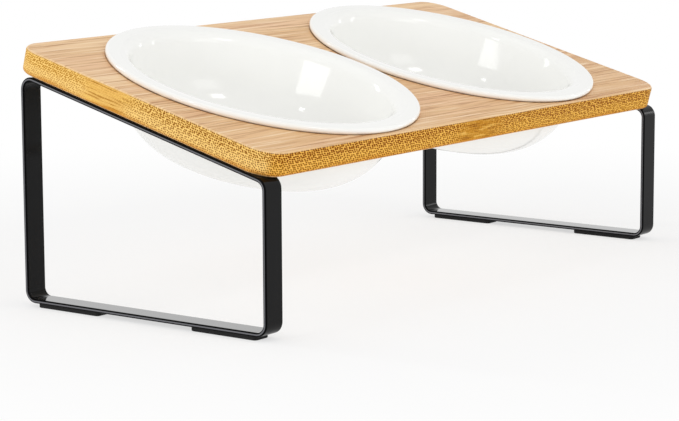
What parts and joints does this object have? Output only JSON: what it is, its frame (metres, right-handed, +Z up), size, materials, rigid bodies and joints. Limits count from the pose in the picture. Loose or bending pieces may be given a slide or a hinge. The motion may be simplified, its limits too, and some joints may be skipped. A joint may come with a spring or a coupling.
{
  "type": "elevated cat bowl stand",
  "caption": "Tilted bamboo board on bent flat-bar steel frames, with round holes that carry lift-out ceramic feeding bowls at a raised, sloped height.",
  "frame": {"origin": "on the floor, under the middle of the whole stand's box", "axes": "+X to the right along the board, +Y to the rear, where the board is higher, +Z up"},
  "size_m": [0.34, 0.154, 0.1265],
  "materials": {
    "bamboo": "satin",
    "glazed_white": "gloss",
    "black_coated_steel": "satin",
    "black_rubber": "matte",
    "black_screw": "satin"
  },
  "bodies": {
    "stand": {"bamboo_board": "bamboo", "left_frame": "black_coated_steel", "left_rear_pad": "black_rubber", "left_rear_screw": "black_screw", "left_front_pad": "black_rubber", "left_front_screw": "black_screw", "right_frame": "black_coated_steel", "right_rear_pad": "black_rubber", "right_rear_screw": "black_screw", "right_front_pad": "black_rubber", "right_front_screw": "black_screw"},
    "left_bowl": {"left_bowl": "glazed_white"},
    "right_bowl": {"right_bowl": "glazed_white"}
  },
  "joints": [
    {"name": "left_bowl_lift", "type": "slide", "parent": "stand", "child": "left_bowl", "axis": [0, -0.2588, 0.9659], "range_m": [0, 0.1]},
    {"name": "right_bowl_lift", "type": "slide", "parent": "stand", "child": "right_bowl", "axis": [0, -0.2588, 0.9659], "range_m": [0, 0.1]}
  ]
}
